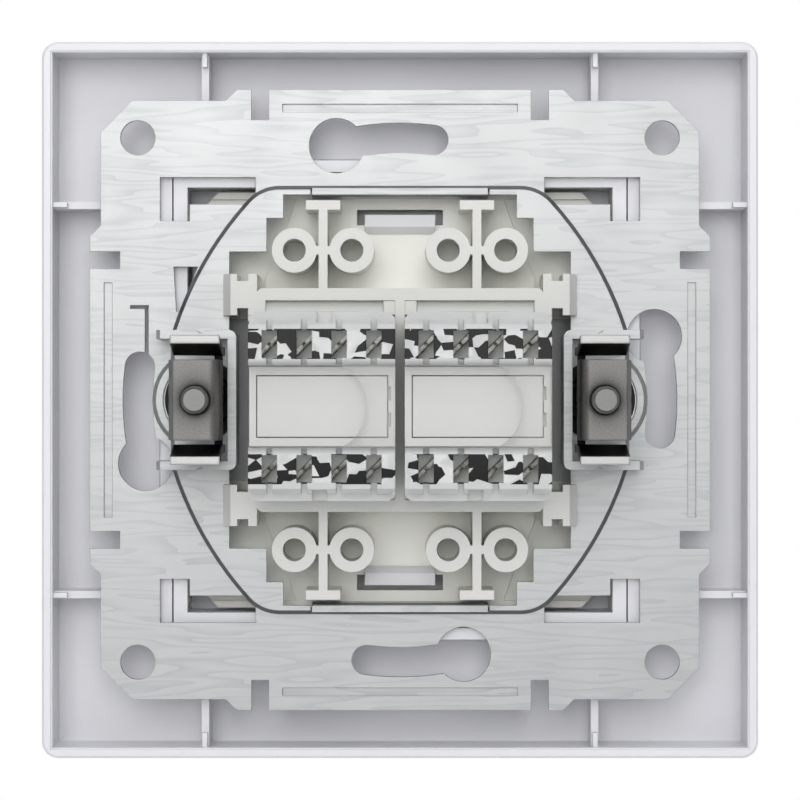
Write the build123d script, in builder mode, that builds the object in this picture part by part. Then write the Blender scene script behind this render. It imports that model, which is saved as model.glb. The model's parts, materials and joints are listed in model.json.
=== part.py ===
from build123d import *
from math import acos, asin, cos, degrees, radians, sin, tan
import os

# Double ethernet wall socket, flush mounted in a 60 mm wall box.
# X points right as seen from the room, Y points into the wall, Z points up.
# The wall surface is y = 0, and the origin is the centre of the socket on it.
# All lengths are in millimetres and all angles in degrees.

# Cover frame
FRAME_SIDE = 82.0
FRAME_DEPTH = 10.0
FRAME_FACE_T = 2.0
FRAME_CORNER_R = 1.9
FRAME_FRONT_R = 1.6
RIM_WALL = 1.2
RIM_EDGE = 0.25
RIM_STEP = 0.18
WINDOW_WALL = 1.35
WINDOW_DRAFT = 5.0
RIB_OFFSET = 22.4
RIB_T = 0.87
RIB_EDGE_DEPTH = 2.4
RIB_TOE_T = 0.55
RIB_TOE_LENGTH = 1.6
RIB_TOE_DEPTH = 1.0

# Centre plate
CENTER_SIDE = 52.0
CENTER_PROUD = 0.7
CENTER_FACE_T = 1.8
CENTER_WALL = 1.6
CENTER_CORNER_R = 0.6
CENTER_EDGE = 0.5
CENTER_GAP = 0.15
SCREW_BAY_WIDTH = 12.4
SCREW_BAY_DEPTH = 5.0

# Snap tongues of the centre plate, hooked over the carrier's floor
TONGUE_WIDTH = 8.12
TONGUE_T = 1.1
TONGUE_Z = 20.27
TONGUE_NOSE = 1.07
TONGUE_NOSE_H = 1.2
TONGUE_NOSE_FLAT = 0.3
TONGUE_WINDOW_MARGIN = 0.9
TONGUE_WINDOW_OUT_Z = 22.0

# Support plate, one stamping of galvanised sheet
SHEET_T = 1.0
SHEET_CLEARANCE = 0.3
PLATE_SIDE = 68.5
PLATE_CHAMFER = 3.6
TAB_REACH = 35.5
TAB_HALF = 18.7
NOTCH_OFFSET = 16.0
NOTCH_WIDTH = 2.0
NOTCH_DEPTH = 3.45
CORNER_HOLE_SPACING = 60.0
CORNER_HOLE_R = 2.0
BEAD_OFFSET = 33.4
BEAD_LENGTH = 26.9
BEAD_WIDTH = 0.95
BEAD_DEPTH = 0.35
BOX_SCREW_CIRCLE_R = 30.0
KEYHOLE_R = 3.15
KEYHOLE_ANGLE = 14.0
KEYHOLE_SLOT_WIDTH = 3.44
KEYHOLE_SWEEP = 21.3
CORNER_WINDOW_OUT_X = 27.46
CORNER_WINDOW_OUT_Z = 25.49
CORNER_WINDOW_IN_X = 16.52
CORNER_WINDOW_IN_Z = 20.48
CORNER_WINDOW_ARM_X = 3.39
CORNER_WINDOW_ARM_Z = 3.11
LANCE_X = 28.77
LANCE_Z = 10.85
LANCE_WIDTH = 0.42
LANCE_LENGTH = 5.6
LANCE_FOOT = 2.1
PICK_WINDOW = ((25.9, 15.25), (23.1, 15.25), (25.3, 10.1), (25.6, 10.1))

# Raised middle of the support plate
RAISE = 1.2
RAISE_SLOPE = 22.0
RAISE_TOP_Z = 24.5
RAISE_TOP_HALF = 15.9
RAISE_MID = (22.45, 16.04)
RAISE_SIDE = (26.2, 7.4)
RAISE_SHOULDER_R = 5.0
RAISE_WALL_INSET = 0.35
SEAT_RING = 0.8

# Stepped opening of the support plate: half width and half height of each step
OPENING_STEPS = ((19.47, 16.93), (15.22, 20.76), (13.32, 23.44))
FLANGE_HALF = 10.05
FLANGE_Z = 23.2
FLANGE_LENGTH = 3.0
FLANGE_R = 0.95
FLANGE_SLIT = 0.16

# Claw brackets, folded up from the support plate
BRACKET_TOP = 7.5
BRACKET_WEB_X = 18.38
BRACKET_HALF = 6.87
BRACKET_ARM_END = 27.4
BRACKET_BEND_R = 0.85
BRACKET_END_CHAMFER = 0.45
BRACKET_GROOVE_DEPTH = 0.42
BRACKET_GROOVE_HALF = 0.6

# Claw screws with ball-shaped heads, and the cups that they rock in
SCREW_X = 22.4
SCREW_R = 1.5
SCREW_TIP_Y = 20.1
SCREW_BALL_R = 2.5
SCREW_FACE_DROP = 1.5
SCREW_DRIVE_WIDTH = 0.7
SCREW_DRIVE_LENGTH = 2.8
SCREW_DRIVE_DEPTH = 1.0
RUNNING_GAP = 0.07
SEAT_HOLE_R = 4.65
SEAT_MARGIN = 0.4
SEAT_T = 0.6
SEAT_MOUTH_ANGLE = 64.0
SEAT_FLAT = 2.95
CUP_STEPS = 1
CUP_HALF_STEP = 20.0
HEAD_STEPS = 3
RETAINER_R = 2.2
RETAINER_T = 0.6
RETAINER_Y = 3.9

# Claws, stampings that ride on the screws
CLAW_T = 0.9
CLAW_FACE_Y = 18.0
CLAW_HALF = 4.44
CLAW_INNER = 2.7
CLAW_OUTER = 2.5
CLAW_BEND_R = 1.2
CLAW_LIP_R = 0.5
CLAW_LIP_REACH = 3.45
CLAW_LIP_END_Y = 9.7
CLAW_TOOTH = 0.8
CLAW_TEETH = 6
CLAW_WEB_END_Y = 10.9
WING_T = 0.93
WING_TOP_Y = 18.3
WING_TOP_Z = 7.11
WING_BEND_Y = 12.0
WING_LOW_Z = 5.9
WING_OUTER = 2.75
WING_END_Y_IN = 6.6
WING_END_Y_OUT = 9.4
COLLAR_R = 2.0
COLLAR_LENGTH = 1.2

# Module carrier
CARRIER_TOP_Y = 4.0
CARRIER_FLOOR_Y = -4.4
CARRIER_FLOOR_T = 1.5
CARRIER_HALF = 24.0
CARRIER_CHAMFER = 3.0
WAIST_HALF = 16.3
WAIST_HALF_HEIGHT = 9.4
CRADLE_HALF_HEIGHT = 12.68
CRADLE_TOP_RAIL = 1.4
CRADLE_OUTER_WALL = 0.96
CRADLE_OUTER_X = 16.23
CRADLE_WEB = 1.13
CRADLE_CORNER_R = 0.7
RIB_STEM_X = 8.72
RIB_STEM_T = 1.02
RIB_BAR_HALF = 1.96
RIB_BAR_OUT_Z = 22.64
RIB_BAR_T = 1.08
BOSS_OFFSET = 3.26
BOSS_Z = 16.97
BOSS_R = 2.55
BOSS_BORE_R = 1.3
BOSS_BORE_DEPTH = 7.0
BOSS_WEB_T = 0.98
CLIP_IN_X = 16.2
CLIP_OUT_X = 20.1
CLIP_IN_Z = 9.6
CLIP_OUT_Z = 14.3
CLIP_NOSE = 0.95
CLIP_STEM_GAP = 0.25
PAD_IN_X = 20.2
PAD_OUT_X = 22.6
CLIP_SLOT_IN_X = 17.2
CLIP_SLOT_WIDTH = 1.25
CLIP_SLOT_DEPTH = 0.8
FLOOR_STEP = 0.5
FLOOR_STEP_OUTLINE = ((15.6, 9.4), (15.6, 14.0), (12.9, 20.6), (12.0, 23.2))

# Jack modules
JACK_X = 8.57
JACK_Z = -0.72
HOUSING_WIDTH = 13.2
HOUSING_TOP_Z = 10.0
HOUSING_BOTTOM_Z = -11.1
HOUSING_RAMP_Z = 11.1
HOUSING_RAMP_Y = -3.0
HOUSING_FRONT_GAP = 0.1
LATCH_ARM_WIDTH = 8.0
PORT_LIP = 0.9
PORT_WIDTH = 11.8
PORT_HEIGHT = 6.9
PORT_DEPTH = 12.0
PORT_LATCH_WIDTH = 6.1
PORT_LATCH_HEIGHT = 1.4
PORT_TIP_WIDTH = 3.4
PORT_TIP_HEIGHT = 1.3
PORT_MARGIN = 0.35
COMB_WIDTH = 9.6
COMB_HEIGHT = 2.6
COMB_CEILING = 0.35
COMB_FRONT_Y = -5.2
FIT_GAP = 0.05

# Spring contacts in the port
CONTACT_COUNT = 8
CONTACT_PITCH = 1.02
WIRE_T = 0.34
WIRE_RUN_Z = 5.0
WIRE_NOSE_Y = -6.6
WIRE_TURN_R = 0.85
WIRE_END_Y = 1.8
WIRE_END_Z = 1.5

# Circuit board, rear block and clear wiring block
BOARD_T = 1.4
BOARD_WIDTH = 13.0
BOARD_HEIGHT = 19.6
BLOCK_WIDTH = 16.1
BLOCK_HEIGHT = 20.8
BLOCK_TOP_Y = 14.0
BLOCK_CORNER = 0.6
DECK_Y = 15.0
DECK_HALF = 4.4
PANEL_WIDTH = 14.55
PANEL_HEIGHT = 6.92
PANEL_T = 0.8
PANEL_GAP = 0.12
CLEAR_TOP_Y = 18.0
CLEAR_STEP_Y = 15.6
CLEAR_BEVEL_Y = 16.9
CLEAR_STEP_IN = 0.83
CLEAR_BEVEL_IN = 1.39
CLEAR_CORNER = 0.65
CLEAR_ARC_R = 4.95
LATCH_NOTCH_WIDTH = 1.62
LATCH_NOTCH_DEPTH = 1.3
LATCH_NOTCH_SHIFT = 0.25
LATCH_SLOT_X = 7.4
LATCH_SLOT_SPREAD = 1.45
LATCH_SLOT_WIDTH = 0.32
LATCH_SLOT_LENGTH = 1.5

# Insulation displacement contacts
IDC_COUNT = 4
IDC_PITCH = 3.81
IDC_ROW = 6.82
IDC_WINDOW_WIDTH = 1.68
IDC_WINDOW_HEIGHT = 3.04
IDC_BLADE_LENGTH = 3.2
IDC_BLADE_T = 0.5
IDC_BLADE_TOP_Y = 17.1
IDC_BLADE_TURN = 135.0
IDC_SLIT_WIDTH = 0.3
IDC_SLIT_DEPTH = 5.0
CAP_POCKET_WIDTH = 14.4
WIRE_CHANNEL_WIDTH = 0.67
WIRE_CHANNEL_DEPTH = 2.4
WIRE_CHANNEL_IN = 4.57

# Distance within which a corner counts as being at a place, when edges are picked by place
NEAR = 0.01

# Sizes that follow from the ones above
FRONT_Y = -FRAME_DEPTH
BEHIND_PLATE_Y = -SHEET_T - SHEET_CLEARANCE
CENTER_FRONT_Y = FRONT_Y - CENTER_PROUD
CENTER_INSIDE_Y = CENTER_FRONT_Y + CENTER_FACE_T
WINDOW_SIDE = CENTER_SIDE + 2 * CENTER_GAP
RAISED_UNDER_Y = RAISE - SHEET_T
BRACKET_TAIL_Y = RAISED_UNDER_Y + SHEET_T / 2
SCREW_PIVOT_Y = RAISED_UNDER_Y
CARRIER_UNDER_Y = CARRIER_FLOOR_Y - CARRIER_FLOOR_T
HOUSING_FRONT_Y = CENTER_INSIDE_Y + HOUSING_FRONT_GAP
BOARD_BACK_Y = CARRIER_TOP_Y + BOARD_T
COMB_Z = PORT_HEIGHT / 2 + COMB_CEILING

os.makedirs("parts", exist_ok=True)


def facing(y):
    """Sketch plane parallel to the wall at depth y: local x is X, local y is Z, extrusion runs to the room."""
    return Plane.XZ.offset(-y)


def into_wall(y):
    """The same plane with extrusion into the wall, for outlines that are even in Z."""
    return Plane(origin=(0, y, 0), x_dir=(1, 0, 0), z_dir=(0, 1, 0))


def finish(piece, label):
    """Labels a finished piece and writes it."""
    piece.part.label = label
    export_step(piece.part, f"parts/{label}.step")


# Outline of the raised middle at the level of the wall
with BuildSketch() as raised_outline:
    with BuildLine():
        Line((-RAISE_TOP_HALF, RAISE_TOP_Z), (RAISE_TOP_HALF, RAISE_TOP_Z))
        ThreePointArc((RAISE_TOP_HALF, RAISE_TOP_Z), RAISE_MID, RAISE_SIDE)
        Line(RAISE_SIDE, (RAISE_SIDE[0], -RAISE_SIDE[1]))
        ThreePointArc(
            (RAISE_SIDE[0], -RAISE_SIDE[1]),
            (RAISE_MID[0], -RAISE_MID[1]),
            (RAISE_TOP_HALF, -RAISE_TOP_Z),
        )
        Line((RAISE_TOP_HALF, -RAISE_TOP_Z), (-RAISE_TOP_HALF, -RAISE_TOP_Z))
        ThreePointArc(
            (-RAISE_TOP_HALF, -RAISE_TOP_Z),
            (-RAISE_MID[0], -RAISE_MID[1]),
            (-RAISE_SIDE[0], -RAISE_SIDE[1]),
        )
        Line((-RAISE_SIDE[0], -RAISE_SIDE[1]), (-RAISE_SIDE[0], RAISE_SIDE[1]))
        ThreePointArc(
            (-RAISE_SIDE[0], RAISE_SIDE[1]),
            (-RAISE_MID[0], RAISE_MID[1]),
            (-RAISE_TOP_HALF, RAISE_TOP_Z),
        )
    make_face()
    shoulders = raised_outline.vertices().filter_by(lambda v: abs(abs(v.Y) - RAISE_TOP_Z) < NEAR)
    fillet(shoulders, RAISE_SHOULDER_R)
    with Locations((SCREW_X, 0), (-SCREW_X, 0)):
        Circle(SEAT_HOLE_R + SEAT_RING + RAISE * tan(radians(RAISE_SLOPE)))


# Cover frame: a hollow moulding with a rim, eight ribs and a wall round its window
with BuildPart() as cover_frame:
    with BuildSketch(facing(0)):
        RectangleRounded(FRAME_SIDE, FRAME_SIDE, FRAME_CORNER_R)
    extrude(amount=FRAME_DEPTH)
    fillet(cover_frame.faces().sort_by(Axis.Y)[0].edges(), FRAME_FRONT_R)
    chamfer(cover_frame.faces().sort_by(Axis.Y)[-1].edges(), RIM_EDGE)
    recess_side = FRAME_SIDE - 2 * RIM_WALL
    with BuildSketch(facing(0)):
        Rectangle(recess_side, recess_side)
    extrude(amount=FRAME_DEPTH - FRAME_FACE_T, mode=Mode.SUBTRACT)
    with BuildSketch(facing(0)):
        Rectangle(recess_side + 2 * RIM_STEP, recess_side + 2 * RIM_STEP)
    extrude(amount=RIM_STEP, mode=Mode.SUBTRACT)
    floor_y = FRONT_Y + FRAME_FACE_T
    wall_height = BEHIND_PLATE_Y - floor_y
    wall_side = WINDOW_SIDE + 2 * WINDOW_WALL
    with BuildSketch(facing(BEHIND_PLATE_Y)):
        Rectangle(wall_side, wall_side)
    extrude(amount=wall_height, taper=-WINDOW_DRAFT)
    rib_run = (recess_side - WINDOW_SIDE) / 2
    rib_middle = (recess_side + WINDOW_SIDE) / 4
    with BuildSketch(facing(-RIB_EDGE_DEPTH)):
        with PolarLocations(0, 4):
            with Locations((rib_middle, RIB_OFFSET), (rib_middle, -RIB_OFFSET)):
                Rectangle(rib_run, RIB_T)
    extrude(amount=-RIB_EDGE_DEPTH - floor_y)
    toe_middle = (recess_side - RIB_TOE_LENGTH) / 2
    with BuildSketch(facing(-RIB_TOE_DEPTH)):
        with PolarLocations(0, 4):
            with Locations((toe_middle, RIB_OFFSET), (toe_middle, -RIB_OFFSET)):
                Rectangle(RIB_TOE_LENGTH, RIB_TOE_T)
    extrude(amount=RIB_EDGE_DEPTH - RIB_TOE_DEPTH)
    with BuildSketch(facing(0)):
        Rectangle(WINDOW_SIDE, WINDOW_SIDE)
    extrude(amount=FRAME_DEPTH, mode=Mode.SUBTRACT)
finish(cover_frame, "cover_frame")


def between(x_from, x_to, z_from, z_to, mode=Mode.ADD):
    """Rectangle given by its limits."""
    with Locations(((x_from + x_to) / 2, (z_from + z_to) / 2)):
        Rectangle(abs(x_to - x_from), abs(z_to - z_from), mode=mode)


def port_opening(margin):
    """Opening for a plug: its body, the step of its latch and the latch's tip below."""
    half = PORT_HEIGHT / 2 + margin
    step = half + PORT_LATCH_HEIGHT
    Rectangle(PORT_WIDTH + 2 * margin, 2 * half)
    between(-PORT_LATCH_WIDTH / 2 - margin, PORT_LATCH_WIDTH / 2 + margin, -step, 0)
    between(-PORT_TIP_WIDTH / 2 - margin, PORT_TIP_WIDTH / 2 + margin, -step - PORT_TIP_HEIGHT, 0)


# Centre plate: a tray open to the wall, with two port apertures and two snap tongues
with BuildPart() as center_plate:
    with BuildSketch(facing(BEHIND_PLATE_Y)):
        RectangleRounded(CENTER_SIDE, CENTER_SIDE, CENTER_CORNER_R)
    extrude(amount=BEHIND_PLATE_Y - CENTER_FRONT_Y)
    chamfer(center_plate.faces().sort_by(Axis.Y)[0].edges(), CENTER_EDGE)
    inside_side = CENTER_SIDE - 2 * CENTER_WALL
    with BuildSketch(facing(BEHIND_PLATE_Y)):
        Rectangle(inside_side, inside_side)
    extrude(amount=BEHIND_PLATE_Y - CENTER_INSIDE_Y, mode=Mode.SUBTRACT)
    bay_middle = (CENTER_SIDE - CENTER_WALL) / 2
    with BuildSketch(facing(0)):
        with Locations((bay_middle, 0), (-bay_middle, 0)):
            Rectangle(2 * CENTER_WALL, SCREW_BAY_WIDTH)
    extrude(amount=SCREW_BAY_DEPTH, mode=Mode.SUBTRACT)
    with BuildSketch(facing(CENTER_INSIDE_Y)):
        with Locations((JACK_X, 0), (-JACK_X, 0)):
            port_opening(PORT_MARGIN)
    extrude(amount=CENTER_FACE_T, mode=Mode.SUBTRACT)
    nose_y = CARRIER_FLOOR_Y + TONGUE_NOSE_H
    with BuildSketch(Plane.YZ):
        with BuildLine():
            Polyline(
                (CENTER_INSIDE_Y, TONGUE_Z),
                (CARRIER_FLOOR_Y, TONGUE_Z),
                (CARRIER_FLOOR_Y, TONGUE_Z - TONGUE_NOSE),
                (CARRIER_FLOOR_Y + TONGUE_NOSE_FLAT, TONGUE_Z - TONGUE_NOSE),
                (nose_y, TONGUE_Z - TONGUE_NOSE_FLAT),
                (nose_y, TONGUE_Z + TONGUE_T),
                (CENTER_INSIDE_Y, TONGUE_Z + TONGUE_T),
                close=True,
            )
        make_face()
        mirror(about=Plane.XZ)
    extrude(amount=TONGUE_WIDTH / 2, both=True)
finish(center_plate, "center_plate")


# Support plate: flat sheet with its outline, slots and windows
keyhole_start = 90 - KEYHOLE_ANGLE
keyhole_x = BOX_SCREW_CIRCLE_R * cos(radians(keyhole_start))
keyhole_z = BOX_SCREW_CIRCLE_R * sin(radians(keyhole_start))
keyhole_arc = CenterArc((0, 0), BOX_SCREW_CIRCLE_R, keyhole_start, KEYHOLE_SWEEP)
with BuildPart() as support_plate:
    with BuildSketch(facing(0)):
        Rectangle(PLATE_SIDE, PLATE_SIDE)
        chamfer(vertices(), PLATE_CHAMFER)
        tab_root = PLATE_SIDE / 2
        root_half = TAB_HALF + TAB_REACH - tab_root
        with PolarLocations(0, 4):
            Polygon(
                (tab_root, -root_half),
                (TAB_REACH, -TAB_HALF),
                (TAB_REACH, TAB_HALF),
                (tab_root, root_half),
                align=None,
            )
            with Locations((TAB_REACH, NOTCH_OFFSET), (TAB_REACH, -NOTCH_OFFSET)):
                Rectangle(2 * NOTCH_DEPTH, NOTCH_WIDTH, mode=Mode.SUBTRACT)
        with GridLocations(CORNER_HOLE_SPACING, CORNER_HOLE_SPACING, 2, 2):
            Circle(CORNER_HOLE_R, mode=Mode.SUBTRACT)
        with PolarLocations(0, 4):
            SlotArc(keyhole_arc, KEYHOLE_SLOT_WIDTH, mode=Mode.SUBTRACT)
            with Locations((keyhole_x, keyhole_z)):
                Circle(KEYHOLE_R, mode=Mode.SUBTRACT)
        for x_sign in (1, -1):
            for z_sign in (1, -1):
                window_x = x_sign * CORNER_WINDOW_OUT_X
                window_z = z_sign * CORNER_WINDOW_OUT_Z
                between(
                    x_sign * CORNER_WINDOW_IN_X, window_x,
                    window_z - z_sign * CORNER_WINDOW_ARM_Z, window_z, Mode.SUBTRACT,
                )
                between(
                    window_x - x_sign * CORNER_WINDOW_ARM_X, window_x,
                    z_sign * CORNER_WINDOW_IN_Z, window_z, Mode.SUBTRACT,
                )
        Polygon(*PICK_WINDOW, align=None, mode=Mode.SUBTRACT)
        between(LANCE_X, LANCE_X + LANCE_WIDTH, LANCE_Z - LANCE_LENGTH, LANCE_Z, Mode.SUBTRACT)
        between(LANCE_X, LANCE_X + LANCE_FOOT, LANCE_Z - LANCE_WIDTH, LANCE_Z, Mode.SUBTRACT)
    extrude(amount=SHEET_T)
    with BuildSketch(facing(0)):
        with PolarLocations(BEAD_OFFSET, 4):
            Rectangle(BEAD_WIDTH, BEAD_LENGTH)
    extrude(amount=BEAD_DEPTH, mode=Mode.SUBTRACT)

    # Raised middle, pressed towards the wall, with its hollow beneath
    with BuildSketch(into_wall(0)):
        add(raised_outline.sketch)
    extrude(amount=RAISE, taper=RAISE_SLOPE)
    with BuildSketch(into_wall(-SHEET_T)):
        add(raised_outline.sketch)
        offset(amount=-RAISE_WALL_INSET, mode=Mode.REPLACE)
    extrude(amount=RAISE, taper=RAISE_SLOPE, mode=Mode.SUBTRACT)

    # Stepped opening, folded flanges at its top and bottom, and the holes over the seats
    with BuildSketch(facing(RAISE)):
        for half_width, half_height in OPENING_STEPS:
            Rectangle(2 * half_width, 2 * half_height)
        with Locations((SCREW_X, 0), (-SCREW_X, 0)):
            Circle(SEAT_HOLE_R)
        for z_sign in (1, -1):
            for x_sign in (1, -1):
                slit_x = x_sign * (FLANGE_HALF + FLANGE_SLIT)
                between(x_sign * FLANGE_HALF, slit_x, z_sign * FLANGE_Z, z_sign * (FLANGE_Z + SHEET_T))
    extrude(amount=RAISE + SHEET_T, mode=Mode.SUBTRACT)
    with BuildSketch(Plane.YZ):
        for z_sign in (1, -1):
            between(-FLANGE_LENGTH, RAISE, z_sign * FLANGE_Z, z_sign * (FLANGE_Z + SHEET_T))
        bend = vertices().filter_by(
            lambda v: abs(v.X - RAISE) < SHEET_T / 2 and abs(v.Y) < FLANGE_Z + SHEET_T / 2
        )
        fillet(bend, FLANGE_R)
    extrude(amount=FLANGE_HALF, both=True)

    # Claw brackets: a web beside the opening and two arms that guide the claw
    with BuildSketch(facing(BRACKET_TOP)):
        web_in = BRACKET_WEB_X
        web_out = BRACKET_WEB_X + SHEET_T
        arm_in = BRACKET_HALF
        arm_out = BRACKET_HALF + SHEET_T
        between(web_in, BRACKET_ARM_END, -arm_out, arm_out)
        fillet(vertices().group_by(Axis.X)[0], BRACKET_BEND_R)
        between(web_out, BRACKET_ARM_END + SHEET_T, -arm_in, arm_in, Mode.SUBTRACT)
        for z_sign in (1, -1):
            groove_z = z_sign * arm_out
            Polygon(
                (SCREW_X - BRACKET_GROOVE_HALF, groove_z),
                (SCREW_X + BRACKET_GROOVE_HALF, groove_z),
                (SCREW_X, groove_z - z_sign * BRACKET_GROOVE_DEPTH),
                align=None, mode=Mode.SUBTRACT,
            )
        mirror(about=Plane.YZ)
    extrude(amount=BRACKET_TOP - BRACKET_TAIL_Y)
    arm_tips = support_plate.edges().filter_by(Axis.Z).filter_by(
        lambda e: abs(abs(e.center().X) - BRACKET_ARM_END) < NEAR and abs(e.center().Y - BRACKET_TOP) < NEAR
    )
    chamfer(arm_tips, BRACKET_END_CHAMFER)
finish(support_plate, "support_plate")


def finish_pair(piece, name):
    """Writes a piece as the right-hand one of a pair, and its mirror image as the left-hand one."""
    finish(piece, f"{name}_right")
    with BuildPart() as twin:
        mirror(piece.part, about=Plane.YZ)
    finish(twin, f"{name}_left")


def ball_outline(radius, first, last, steps):
    """Points round a screw's pivot, from the first angle off its axis to the last, in equal steps."""
    angles = [radians(first + (last - first) * step / steps) for step in range(steps + 1)]
    return [(SCREW_X + radius * sin(angle), SCREW_PIVOT_Y + radius * cos(angle)) for angle in angles]


# Screw seat: a flange under the raised sheet and a round cup in which the screw's head rocks
screw_axis = Axis((SCREW_X, 0, 0), (0, 1, 0))
with BuildPart() as screw_seat:
    flange_y = SCREW_PIVOT_Y - SEAT_T
    flange_edge = SCREW_X + SEAT_HOLE_R + SEAT_MARGIN
    cup_in = (SCREW_BALL_R + RUNNING_GAP) / cos(radians(CUP_HALF_STEP))
    cup_out = cup_in + SEAT_T
    cup_low_angle = degrees(acos((flange_y - SCREW_PIVOT_Y) / cup_in))
    with BuildSketch(Plane.XY):
        Polygon(
            (flange_edge, flange_y),
            (flange_edge, SCREW_PIVOT_Y),
            *ball_outline(cup_out, 90, SEAT_MOUTH_ANGLE, CUP_STEPS),
            *ball_outline(cup_in, SEAT_MOUTH_ANGLE, cup_low_angle, CUP_STEPS),
            align=None,
        )
    revolve(axis=screw_axis)
    with BuildSketch(facing(SCREW_PIVOT_Y + cup_out)):
        between(0, SCREW_X - SEAT_FLAT, -2 * SEAT_HOLE_R, 2 * SEAT_HOLE_R)
    extrude(amount=2 * SEAT_HOLE_R, mode=Mode.SUBTRACT)
finish_pair(screw_seat, "screw_seat")


# Claw screw: round head with a cross recess, and a plain shaft
with BuildPart() as claw_screw:
    face_y = SCREW_PIVOT_Y - SCREW_FACE_DROP
    head_first = degrees(acos((face_y - SCREW_PIVOT_Y) / SCREW_BALL_R))
    head_last = degrees(asin(SCREW_R / SCREW_BALL_R))
    with BuildSketch(Plane.XY):
        Polygon(
            (SCREW_X, face_y),
            *ball_outline(SCREW_BALL_R, head_first, head_last, HEAD_STEPS),
            (SCREW_X + SCREW_R, SCREW_TIP_Y),
            (SCREW_X, SCREW_TIP_Y),
            align=None,
        )
    revolve(axis=screw_axis)
    with BuildSketch(into_wall(face_y)):
        with Locations((SCREW_X, 0)):
            Rectangle(SCREW_DRIVE_LENGTH, SCREW_DRIVE_WIDTH)
            Rectangle(SCREW_DRIVE_WIDTH, SCREW_DRIVE_LENGTH)
    extrude(amount=SCREW_DRIVE_DEPTH, mode=Mode.SUBTRACT)
finish_pair(claw_screw, "claw_screw")


# Retaining ring on the screw, just above its seat
with BuildPart() as screw_retainer:
    with BuildSketch(facing(RETAINER_Y + RETAINER_T)):
        with Locations((SCREW_X, 0)):
            Circle(RETAINER_R)
            Circle(SCREW_R + RUNNING_GAP, mode=Mode.SUBTRACT)
    extrude(amount=RETAINER_T)
finish_pair(screw_retainer, "screw_retainer")


# Claw: a bridge with a collar on the screw, a web beside the opening, a toothed lip and two wings
with BuildPart() as claw:
    bridge_in = SCREW_X - CLAW_INNER
    bridge_out = SCREW_X + CLAW_OUTER
    lip_out = SCREW_X + CLAW_LIP_REACH
    with BuildSketch(Plane.XY):
        with BuildLine():
            Polyline(
                (bridge_in, CLAW_WEB_END_Y),
                (bridge_in, CLAW_FACE_Y),
                (bridge_out, CLAW_FACE_Y),
                (lip_out, CLAW_LIP_END_Y),
                (lip_out - CLAW_T, CLAW_LIP_END_Y),
                (bridge_out - CLAW_T, CLAW_FACE_Y - CLAW_T),
                (bridge_in + CLAW_T, CLAW_FACE_Y - CLAW_T),
                (bridge_in + CLAW_T, CLAW_WEB_END_Y),
                close=True,
            )
        make_face()
        outer_bend = vertices().filter_by(lambda v: v.Y > CLAW_FACE_Y - CLAW_T / 2).sort_by(Axis.X)
        fillet(outer_bend[0], CLAW_BEND_R)
        fillet(outer_bend[1], CLAW_LIP_R)
        fillet(vertices().filter_by(lambda v: abs(v.Y - CLAW_FACE_Y + CLAW_T) < NEAR), CLAW_LIP_R)
    extrude(amount=CLAW_HALF, both=True)

    # Teeth cut across the end of the lip
    tooth_pitch = 2 * CLAW_HALF / CLAW_TEETH
    with BuildSketch(Plane.YZ.offset(bridge_out - CLAW_T)):
        with Locations((CLAW_LIP_END_Y, 0)):
            with GridLocations(0, tooth_pitch, 1, CLAW_TEETH - 1):
                RegularPolygon(CLAW_TOOTH, 4)
    extrude(amount=CLAW_LIP_REACH, mode=Mode.SUBTRACT)

    # Collar drawn from the bridge, with the running hole for the screw
    with BuildSketch(facing(CLAW_FACE_Y)):
        with Locations((SCREW_X, 0)):
            Circle(COLLAR_R)
    extrude(amount=CLAW_T + COLLAR_LENGTH)
    with BuildSketch(facing(CLAW_FACE_Y)):
        with Locations((SCREW_X, 0)):
            Circle(SCREW_R + RUNNING_GAP)
    extrude(amount=CLAW_FACE_Y, mode=Mode.SUBTRACT)

    # Wings folded from the web, flared towards the wall box and cut on a slant at their ends
    wing_end_y = min(WING_END_Y_IN, WING_END_Y_OUT)
    with BuildSketch(Plane.YZ.offset(bridge_in)):
        Polygon(
            (wing_end_y, WING_LOW_Z),
            (WING_BEND_Y, WING_LOW_Z),
            (WING_TOP_Y, WING_TOP_Z),
            (WING_TOP_Y, WING_TOP_Z - WING_T),
            (WING_BEND_Y, WING_LOW_Z - WING_T),
            (wing_end_y, WING_LOW_Z - WING_T),
            align=None,
        )
        mirror(about=Plane.XZ)
    extrude(amount=CLAW_INNER + WING_OUTER)
    with BuildSketch(Plane.YZ.offset(bridge_in)):
        between(CLAW_WEB_END_Y, WING_BEND_Y, -WING_LOW_Z, WING_LOW_Z)
    extrude(amount=CLAW_T)
    with BuildSketch(Plane.XY):
        Polygon(
            (bridge_in, WING_END_Y_IN),
            (SCREW_X + WING_OUTER, WING_END_Y_OUT),
            (SCREW_X + WING_OUTER, 0),
            (bridge_in, 0),
            align=None,
        )
    extrude(amount=WING_TOP_Z, both=True, mode=Mode.SUBTRACT)
finish_pair(claw, "claw")


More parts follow.
